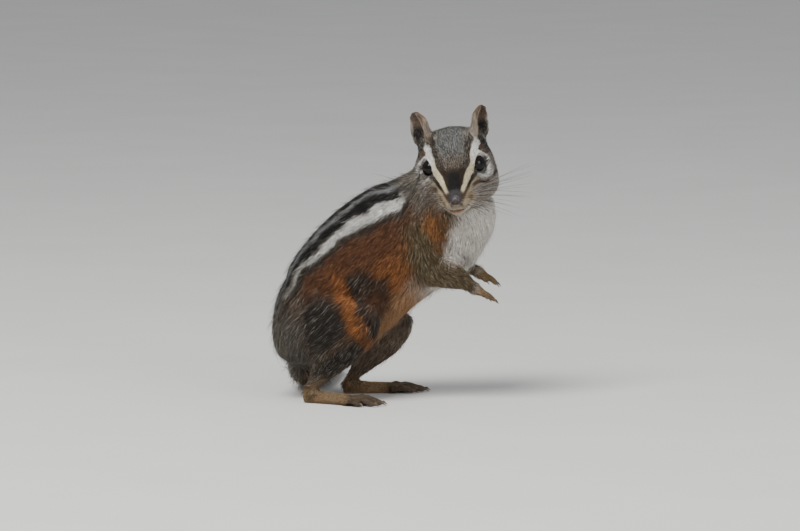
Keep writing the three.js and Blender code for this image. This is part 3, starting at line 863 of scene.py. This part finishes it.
# A few thin hairs stand clear of the rest.
STRAY_SHARE = 0.04
stray = rng.random(len(roots)) < STRAY_SHARE * (1 - 0.85 * on_head)
tuft_height = np.where(stray, tuft_height * 1.2 + coat_value("depth") * 0.6 * MM, tuft_height)
tuft_width = np.where(stray, tuft_width * 0.55, tuft_width)
tuft_colour, tuft_grizzle = markings(roots, root_normals, root_parts)

middles = on_skin(roots + tuft_way * (tuft_length * 0.5)[:, None], tuft_height * 0.62)
tips = on_skin(roots + tuft_way * tuft_length[:, None], tuft_height)
# At the end of the tail the hairs run on past the skin and draw together into a point.
tail_end = ramp(roots[:, 1] / MM, 48, 58) * root_shares[:, COAT_KINDS.index("tail")]
end_middle, end_way = tail_place(roots)
run_on = unit(end_way + (roots - end_middle) * 30)
run_on = run_on * (tuft_length * rng.uniform(0.7, 1.1, len(roots)))[:, None]
for share, placed in ((0.5, middles), (1.0, tips)):
    straight = roots + run_on * share + root_normals * (tuft_height * 0.5 * share)[:, None]
    straight[:, 2] = np.maximum(straight[:, 2], FLOOR_CLEAR)
    placed += (straight - placed) * tail_end[:, None]


def tick(colour, grizzle):
    """Each tuft's own shade: pale and dark hairs mixed where the coat is grizzled."""
    own = rng.random(len(colour))
    shade = np.exp(rng.normal(0, 0.16, len(colour)))[:, None]
    tipped = colour * shade
    pale = (own < 0.42 * grizzle)[:, None]
    dark = (own > 1 - 0.55 * grizzle)[:, None]
    rusty = ramp(1 - colour[:, 2] / colour[:, 0], 0.55, 0.8)[:, None]
    light = to_linear("b3ada0") * (1 - rusty) + colour * 2.6 * rusty
    tipped = np.where(pale, tipped * 0.5 + light * 0.5, tipped)
    tipped = np.where(dark, tipped * 0.3 + to_linear("211c19") * 0.7, tipped)
    return tipped


tip_colour = tick(tuft_colour, tuft_grizzle)
middle_colour = tip_colour * 0.85 + tuft_colour * 0.05
root_colour = tuft_colour * 0.42

# Regions of the coat. Each is unwrapped round its own long line and is laid out as one cell of the map.
REGIONS = {
    "head": ("head", "ear"), "trunk": ("neck", "chest", "loin"), "rump": ("rump", "thigh", "shank"),
    "arms": ("upper_arm", "forearm", "hand"), "feet": ("hind_foot",), "tail": ("tail",),
}
region_of = np.zeros(len(points), int)
for number, starts in enumerate(REGIONS.values()):
    for start in starts:
        region_of[np.char.startswith(part_of, start)] = number
root_region = region_of[skin_tris[tuft_tri][kept, 0]]
# Each tuft's patch on the coat's map, the map's columns and rows of cells, and the part of a cell that is
# used: where it starts and how far it spans.
PATCH = 0.003
MAP_COLUMNS, MAP_ROWS = 3, 2
CELL_EDGE, CELL_SPAN = 0.04, 0.92


def unwrap(spots, region):
    """Places on the coat's map: the angle round each region's long line, and the way along it."""
    place = np.zeros((len(spots), 2))
    for number in range(len(REGIONS)):
        inside = region == number
        if not inside.any():
            continue
        middle = points[region_of == number].mean(0)
        away = points[region_of == number] - middle
        _, _, axes = np.linalg.svd(away[::17], full_matrices=False)
        local = (spots[inside] - middle) @ axes.T
        reach = np.abs(away @ axes[0]).max() * 1.02
        turn = np.arctan2(local[:, 2], local[:, 1]) / (2 * math.pi) + 0.5
        along = local[:, 0] / reach / 2 + 0.5
        cell = np.array([number % MAP_COLUMNS, number // MAP_COLUMNS])
        place[inside] = cell + CELL_EDGE + CELL_SPAN * np.stack([turn, along], 1)
    return place / np.array([MAP_COLUMNS, MAP_ROWS])


root_place = unwrap(roots, root_region)


def tuft_piece(name, chosen):
    """Joins the chosen tufts, each a closed bent lock with a root, three middle points and a tip."""
    count = len(chosen)
    root = roots[chosen] - root_normals[chosen] * 0.1 * MM
    middle, tip = middles[chosen], tips[chosen]
    way = unit(tip - root)
    side = unit(np.cross(root_normals[chosen], way))
    rise = np.cross(way, side)
    half = tuft_width[chosen][:, None] / 2
    spots = np.stack([
        root, middle - side * half, middle + side * half, middle + rise * half * 0.8, tip,
    ], 1).reshape(-1, 3)
    pattern = np.array([(0, 2, 1), (0, 1, 3), (0, 3, 2), (4, 1, 2), (4, 3, 1), (4, 2, 3)])
    faces = (np.arange(count) * 5)[:, None, None] + pattern[None]
    piece = new_mesh(name, spots, faces.reshape(-1, 3))
    colours = [shade[chosen] for shade in (root_colour, *[middle_colour] * 3, tip_colour)]
    write_colour(piece, np.stack(colours, 1).reshape(-1, 3))
    corner_place = np.array([(0.5, 0.0), (0.0, 0.5), (1.0, 0.5), (0.5, 0.6), (0.5, 1.0)]) * PATCH
    places = (root_place[chosen][:, None, :] + corner_place[None]).reshape(-1, 2)
    corners = read(piece.data.loops, "vertex_index", 1, whole=True)[:, 0]
    layer = piece.data.uv_layers.new(name="OFBake")
    layer.data.foreach_set("uv", places[corners].astype(np.float32).ravel())
    return piece


PIECE_TUFTS = 32000


def coat_pieces():
    """The whole coat as pieces of fewer than 200,000 triangles, region by region from front to back."""
    made = []
    for number, region in enumerate(REGIONS):
        inside = np.flatnonzero(root_region == number)
        inside = inside[np.argsort(roots[inside, 1], kind="stable")]
        parts = max(1, math.ceil(len(inside) / PIECE_TUFTS))
        for i, chosen in enumerate(np.array_split(inside, parts)):
            made.append((region, tuft_piece("coat_%s_%d" % (region, i + 1), chosen)))
    return made


def add(tree, kind, links=(), **settings):
    """Adds a node, sets its options, and sets or links its inputs, each given by name or number."""
    node = tree.nodes.new(kind)
    for name, value in settings.items():
        setattr(node, name, value)
    for name, value in dict(links).items():
        if isinstance(value, bpy.types.NodeSocket):
            tree.links.new(value, node.inputs[name])
        else:
            node.inputs[name].default_value = value
    return node


def colour_of(code):
    return (*to_linear(code), 1.0)


def blank_material(name):
    """A material and its empty tree."""
    material = bpy.data.materials.new(name)
    material.use_nodes = True
    tree = material.node_tree
    tree.nodes.clear()
    return material, tree


def surface(material, shader):
    """Joins a material's shader to its output."""
    add(material.node_tree, "ShaderNodeOutputMaterial", {"Surface": shader.outputs["BSDF"]})
    return material


def per_mm(size):
    """A pattern's scale for features of a size in millimetres."""
    return 1 / (size * MM)


def coat_shade(tree, grain, detail, low, high):
    """The coat's marking colour made darker and lighter in spots of a size in millimetres, and the spots."""
    colour = add(tree, "ShaderNodeAttribute", attribute_name="coat_colour")
    place = add(tree, "ShaderNodeTexCoord")
    spots = add(tree, "ShaderNodeTexNoise", {
        "Vector": place.outputs["Object"], "Scale": per_mm(grain), "Detail": detail,
    })
    level = add(tree, "ShaderNodeMapRange", {
        "Value": spots.outputs["Fac"], "From Min": 0.3, "From Max": 0.7, "To Min": low, "To Max": high,
    })
    shade = add(tree, "ShaderNodeMix", {
        0: 1.0, 6: colour.outputs["Color"], 7: level.outputs["Result"],
    }, data_type="RGBA", blend_type="MULTIPLY")
    return shade.outputs[2], spots.outputs["Fac"]


def two_tints(tree, grain, detail, tints):
    """Places on the piece, and a cloudy colour between two tints, each a position and a hex colour."""
    place = add(tree, "ShaderNodeTexCoord")
    clouds = add(tree, "ShaderNodeTexNoise", {
        "Vector": place.outputs["Object"], "Scale": per_mm(grain), "Detail": detail,
    })
    tint = add(tree, "ShaderNodeValToRGB", {"Fac": clouds.outputs["Fac"]})
    for stop, (position, code) in zip(tint.color_ramp.elements, tints):
        stop.position, stop.color = position, colour_of(code)
    return place.outputs["Object"], tint.outputs["Color"]


def hair_material(name, roughness, grain, strength):
    """Keratin hair: its marking colour varies a little from hair to hair and has a low silky gloss."""
    material, tree = blank_material(name)
    shade, _ = coat_shade(tree, grain, 3.0, 1 - strength, 1 + strength)
    shader = add(tree, "ShaderNodeBsdfPrincipled", {
        "Base Color": shade, "Roughness": roughness, "Specular IOR Level": 0.3,
    })
    return surface(material, shader)


def skin_material():
    """Skin under short hair: coat markings in painted shade over hair-root bumps, dry and without gloss."""
    material, tree = blank_material("short hair over skin")
    shade, hairs = coat_shade(tree, 0.35, 4.0, 0.75, 1.2)
    bump = add(tree, "ShaderNodeBump", {"Height": hairs, "Strength": 0.5, "Distance": 0.12 * MM})
    shader = add(tree, "ShaderNodeBsdfPrincipled", {
        "Base Color": shade, "Roughness": 0.75, "Specular IOR Level": 0.25, "Normal": bump.outputs["Normal"],
    })
    return surface(material, shader)


def eye_material():
    """A wet eye, glassy over a nearly black iris; the lashes' shade dulls its gloss towards the rim."""
    material, tree = blank_material("wet eye")
    place = add(tree, "ShaderNodeTexCoord")
    apart = add(tree, "ShaderNodeSeparateXYZ", {"Vector": place.outputs["Object"]})
    streaks = add(tree, "ShaderNodeTexNoise", {
        "Vector": place.outputs["Object"], "Scale": per_mm(0.5), "Detail": 4.0,
    })
    wavy = add(tree, "ShaderNodeMath", {0: streaks.outputs["Fac"], 1: 0.5 * MM, 2: apart.outputs["Z"]},
               operation="MULTIPLY_ADD")
    ring = add(tree, "ShaderNodeMapRange", {
        "Value": wavy.outputs["Value"], "From Min": 0.5 * EYE_RADIUS, "From Max": 0.95 * EYE_RADIUS,
    })
    tint = add(tree, "ShaderNodeValToRGB", {"Fac": ring.outputs["Result"]})
    stops = tint.color_ramp.elements
    stops[0].color = colour_of("0c0705")
    stops[1].position, stops[1].color = 0.9, colour_of("050404")
    warm = stops.new(0.45)
    warm.color = colour_of("170d08")
    slant = add(tree, "ShaderNodeLayerWeight", {"Blend": 0.5})
    gloss = add(tree, "ShaderNodeMapRange", {
        "Value": slant.outputs["Facing"], "From Min": 0.35, "From Max": 0.8, "To Min": 1.0, "To Max": 0.06,
    })
    shader = add(tree, "ShaderNodeBsdfPrincipled", {
        "Base Color": tint.outputs["Color"], "Roughness": 0.3, "Specular IOR Level": 0.0,
        "Coat Weight": gloss.outputs["Result"], "Coat Roughness": 0.02, "Coat IOR": 1.34,
    })
    return surface(material, shader)


def leather_material():
    """Bare nose leather: dark brown-grey, finely pebbled, and damp enough for a soft shine."""
    material, tree = blank_material("nose leather")
    place, tint = two_tints(tree, 0.8, 3.0, ((0.35, "2a2425"), (0.7, "4a3f3e")))
    pebbles = add(tree, "ShaderNodeTexVoronoi", {"Vector": place, "Scale": per_mm(0.16)})
    bump = add(tree, "ShaderNodeBump", {
        "Height": pebbles.outputs["Distance"], "Strength": 0.35, "Distance": 0.05 * MM,
    })
    shader = add(tree, "ShaderNodeBsdfPrincipled", {
        "Base Color": tint, "Roughness": 0.42, "Specular IOR Level": 0.35, "Normal": bump.outputs["Normal"],
    })
    return surface(material, shader)


def plain_material(name, roughness, grain, detail, tints):
    """A solid material with one cloudy or streaked colour and an even polish."""
    material, tree = blank_material(name)
    _, tint = two_tints(tree, grain, detail, tints)
    shader = add(tree, "ShaderNodeBsdfPrincipled", {"Base Color": tint, "Roughness": roughness})
    return surface(material, shader)


def horn_material(name, dark, pale, grain):
    """Claw horn or stiff hair: brown keratin in fine streaks, with a dull polish."""
    return plain_material(name, 0.35, grain, 4.0, ((0.35, dark), (0.7, pale)))


def studio_material():
    """Matt studio paper: pale warm grey with the faintest cloudiness."""
    return plain_material("matt studio paper", 0.9, 60.0, 3.0, ((0.0, "c9c8c4"), (1.0, "d3d2ce")))


def dress(piece, material):
    """Gives a piece its material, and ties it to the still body."""
    piece.data.materials.clear()
    piece.data.materials.append(material)
    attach(piece, "root")


def ball(rings, around):
    """Points and triangles of a unit ball, its pole towards +Z, and for each point its unit direction."""
    tilt = np.linspace(0, math.pi, rings + 1)[1:-1]
    turn = np.arange(around) * 2 * math.pi / around
    ring = np.stack([
        np.sin(tilt)[:, None] * np.cos(turn), np.sin(tilt)[:, None] * np.sin(turn),
        np.repeat(np.cos(tilt)[:, None], around, 1),
    ], 2).reshape(-1, 3)
    spots = np.vstack([[(0, 0, 1)], ring, [(0, 0, -1)]])
    faces = []
    last = len(spots) - 1
    for j in range(around):
        k = (j + 1) % around
        faces.append((0, 1 + j, 1 + k))
        for i in range(rings - 2):
            a, b = 1 + i * around + j, 1 + i * around + k
            faces.append((a, a + around, b + around))
            faces.append((a, b + around, b))
        a, b = 1 + (rings - 2) * around + j, 1 + (rings - 2) * around + k
        faces.append((a, last, b))
    return spots, np.array(faces)


# How far the cornea bulges, and the ball's size in its CAD eye, as shares.
CORNEA_BULGE = 0.035
BALL_SHARE = 0.985


def make_eye(side):
    """An eyeball with a slightly bulging cornea, turned so that its pole looks out of the head."""
    spots, faces = ball(48, 64)
    swell = 1 + CORNEA_BULGE * ramp(spots[:, 2], 0.55, 1.0)
    piece = new_mesh("eyeball_" + side, spots * swell[:, None] * EYE_RADIUS * BALL_SHARE, faces)
    piece.rotation_mode = "QUATERNION"
    piece.rotation_quaternion = Vector(eye_axis(side)).to_track_quat("Z", "Y")
    piece.location = EYES[side]
    return piece


# The nose pad's half width, half height and half depth, in millimetres.
NOSE_HALF = np.array([1.9, 1.65, 1.45])


def make_nose():
    """The nose pad, with two comma-shaped nostrils and a groove between them running down to the lip."""
    spots, faces = ball(72, 96)
    shape = spots * NOSE_HALF
    side, rise, front = shape[:, 0], shape[:, 1], shape[:, 2]
    face = ramp(front, 0.1, 0.8)
    groove = hill((side, 0, 0.16)) * face * (1 - 0.6 * ramp(rise, 0.2, 0.9))
    away = np.hypot((np.abs(side) - 0.72) / 0.34, (rise + 0.18 + 0.35 * (np.abs(side) - 0.72)) / 0.26)
    nostril = fall(away, 0.55, 1.15) * ramp(front, 0.0, 0.5)
    wing = hill((np.abs(side), 1.0, 0.3), (rise, 0.15, 0.35)) * face
    shape = shape * (1 + 0.07 * wing - 0.12 * groove)[:, None]
    shape[:, 2] -= 0.75 * nostril
    placed = NOSE_MIDDLE + (shape[:, :1] * OUT + shape[:, 1:2] * UP + shape[:, 2:] * FORWARD) * MM
    return new_mesh("nose_pad", placed, faces[:, ::-1])


WHISKER_ROWS = [
    # Each row's height and front end in the head's frame, its number of whiskers, and how much they rise.
    (-5.2, 12.4, 4, 0.28), (-6.2, 13.0, 6, 0.05), (-7.1, 13.2, 6, -0.20), (-8.0, 12.8, 6, -0.48),
]
WHISKER_RADIUS = 0.085 * MM
WHISKER_STEPS, WHISKER_SIDES = 14, 5
# The whiskers stay within this distance of the row frame's middle.
WHISKER_LIMIT = np.array([53.2, 70.0, 115.0]) * MM


def tube_faces(steps, around):
    """Triangles of a closed tube of rings of points."""
    faces = []
    for low in range(0, (steps - 1) * around, around):
        high = low + around
        for a in range(around):
            b = (a + 1) % around
            faces += [(low + a, low + b, high + b), (low + a, high + b, high + a)]
    last = (steps - 1) * around
    for a in range(1, around - 1):
        faces += [(0, a + 1, a), (last, last + a, last + a + 1)]
    return np.array(faces)


def make_whiskers(side):
    """Four rows of long bristles on one side of the muzzle, each a tapered tube bent back and down."""
    handed = 1 if side == "left" else -1
    turn = np.random.default_rng(21 if side == "left" else 22)
    all_spots, all_faces, count = [], [], 0
    for up, forward, many, rise in WHISKER_ROWS:
        for i in range(many):
            start = from_head(forward - 1.5 * i, handed * (2.2 + 0.75 * i), up - 0.12 * i)
            place, normal, _, _ = skin_tree.find_nearest(Vector(start))
            base = np.array(place) - np.array(normal) * 0.2 * MM
            length = (10 + 4.0 * i + turn.uniform(-1.5, 2.5)) * MM
            lift = UP * (rise + turn.uniform(-0.1, 0.1))
            way = unit(OUT * handed * 1.0 + FORWARD * (0.30 - 0.22 * i) + lift)
            bend = -FORWARD * 0.38 - UP * (0.34 + turn.uniform(-0.08, 0.08))
            while np.any(np.abs(base + (way + bend * 0.55) * length) > WHISKER_LIMIT):
                length *= 0.97
            share = np.linspace(0, 1, WHISKER_STEPS)[:, None]
            line = base + way * length * share + bend * length * share ** 2 * 0.55
            along = unit(np.gradient(line, axis=0))
            across = unit(np.cross(along, UP))
            other = np.cross(along, across)
            radius = WHISKER_RADIUS * (1 - share * 0.88)
            rings = [line + (across * math.cos(a) + other * math.sin(a)) * radius
                     for a in np.arange(WHISKER_SIDES) * 2 * math.pi / WHISKER_SIDES]
            all_spots.append(np.stack(rings, 1).reshape(-1, 3))
            all_faces.append(tube_faces(WHISKER_STEPS, WHISKER_SIDES) + count)
            count += WHISKER_STEPS * WHISKER_SIDES
    return new_mesh("whiskers_" + side, np.vstack(all_spots), np.vstack(all_faces))


dress(skin, skin_material())
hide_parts(*FLESH)

FUR = {
    "head": hair_material("short dense head hair", 0.62, 0.5, 0.12),
    "trunk": hair_material("sleek guard hair", 0.55, 0.7, 0.12),
    "rump": hair_material("loose rump hair", 0.6, 0.8, 0.15),
    "arms": hair_material("short limb hair", 0.62, 0.5, 0.12),
    "feet": hair_material("bristly foot hair", 0.65, 0.4, 0.12),
    "tail": hair_material("bushy tail hair", 0.6, 0.8, 0.18),
}
for region, piece in coat_pieces():
    dress(piece, FUR[region])

wet_eye = eye_material()
for side in EYES:
    eyeball = make_eye(side)
    dress(eyeball, wet_eye)
    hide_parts("eye_" + side)

nose_pad = make_nose()
dress(nose_pad, leather_material())
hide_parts("nose")

bristle = horn_material("whisker bristle", "2a1f19", "4a3528", 3.0)
for side in EYES:
    dress(make_whiskers(side), bristle)

claw_horn = horn_material("claw horn", "2e2620", "6b5a48", 0.8)
for name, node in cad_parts.items():
    if "claw" in name:
        node.data.materials.clear()
        node.data.materials.append(claw_horn)

# Studio: a wide pale floor, an even pale sky and two broad lamps.
FLOOR_HALF = 30.0
SKY_STRENGTH = 0.62
LAMP_AIM = Vector((0, -0.038, 0.05))
floor_corners = np.array([(-1, -1, 0), (1, -1, 0), (1, 1, 0), (-1, 1, 0)]) * FLOOR_HALF
floor = new_mesh("studio_floor", floor_corners, np.array([(0, 1, 2, 3)]), smooth=False)
floor.data.materials.append(studio_material())

world = bpy.data.worlds.new("studio sky")
bpy.context.scene.world = world
world.use_nodes = True
world.node_tree.nodes["Background"].inputs["Color"].default_value = colour_of("dfe3e6")
world.node_tree.nodes["Background"].inputs["Strength"].default_value = SKY_STRENGTH


def lamp(name, place, size, power):
    """A square soft lamp aimed at the animal's middle: place and size in metres, power in watts."""
    light = bpy.data.lights.new(name, "AREA")
    light.shape = "SQUARE"
    light.size = size
    light.energy = power
    piece = bpy.data.objects.new(name, light)
    piece.location = place
    away = Vector(place) - LAMP_AIM
    piece.rotation_mode = "QUATERNION"
    piece.rotation_quaternion = away.to_track_quat("Z", "Y")
    bpy.context.scene.collection.objects.link(piece)


lamp("high soft lamp", (-0.45, -0.75, 1.2), 0.7, 30.0)
lamp("front fill lamp", (0.9, -1.1, 0.55), 0.8, 8.0)

# The camera looks at the place in the middle of the photograph.
LOOK_AT = np.array([4.98, -38.2, 47.96]) * MM
camera_data = bpy.data.cameras.new("camera")
camera_data.sensor_width = SENSOR
camera_data.lens = SENSOR * CAMERA_DISTANCE / PHOTO_WIDTH
camera_data.clip_start = 0.05
camera_data.clip_end = 100.0
camera = bpy.data.objects.new("camera", camera_data)
view_way = np.array([0, -math.cos(CAMERA_ELEVATION), math.sin(CAMERA_ELEVATION)])
camera.location = LOOK_AT + view_way * CAMERA_DISTANCE
camera.rotation_mode = "QUATERNION"
camera.rotation_quaternion = Vector(view_way).to_track_quat("Z", "Y")
bpy.context.scene.collection.objects.link(camera)
bpy.context.scene.camera = camera
